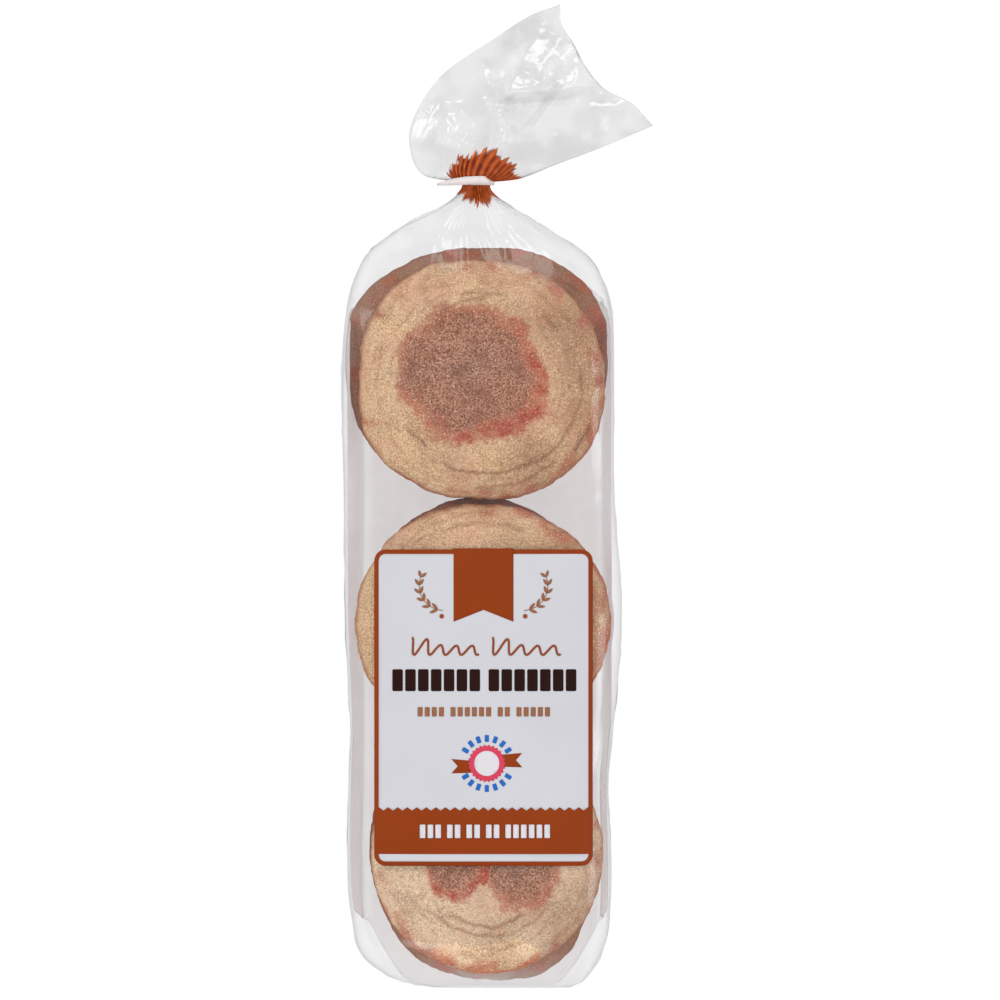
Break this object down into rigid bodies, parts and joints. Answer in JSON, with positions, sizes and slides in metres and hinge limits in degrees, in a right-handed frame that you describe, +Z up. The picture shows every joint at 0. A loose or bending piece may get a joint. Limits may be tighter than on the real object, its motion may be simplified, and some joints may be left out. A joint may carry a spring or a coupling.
{
  "type": "sealed bag of english muffins",
  "caption": "Clear film bag of round griddled muffins in a white card tray, gathered and tied at the neck, lying on its back with its label up.",
  "frame": {"origin": "middle of the filled bag's flat underside, on the surface it lies on", "axes": "+Z up out of the label side, +Y along the bag from its closed end to the tied neck, +X to the right seen from above with the neck away from the viewer"},
  "size_m": [0.1137, 0.36, 0.0489],
  "materials": {
    "clear_film": "clear polypropylene film, glossy, lightly creased",
    "tie_plastic": "white flat bag tie, paper-laminated plastic",
    "muffin_crust": "dry floured whole wheat crust, browned in the middle by the griddle",
    "tray_card": "white paperboard, folded and uncoated",
    "label_print": "opaque white and brown ink printed on the film"
  },
  "bodies": {
    "root": {"bag": "clear_film", "tie": "tie_plastic"}
  },
  "joints": []
}
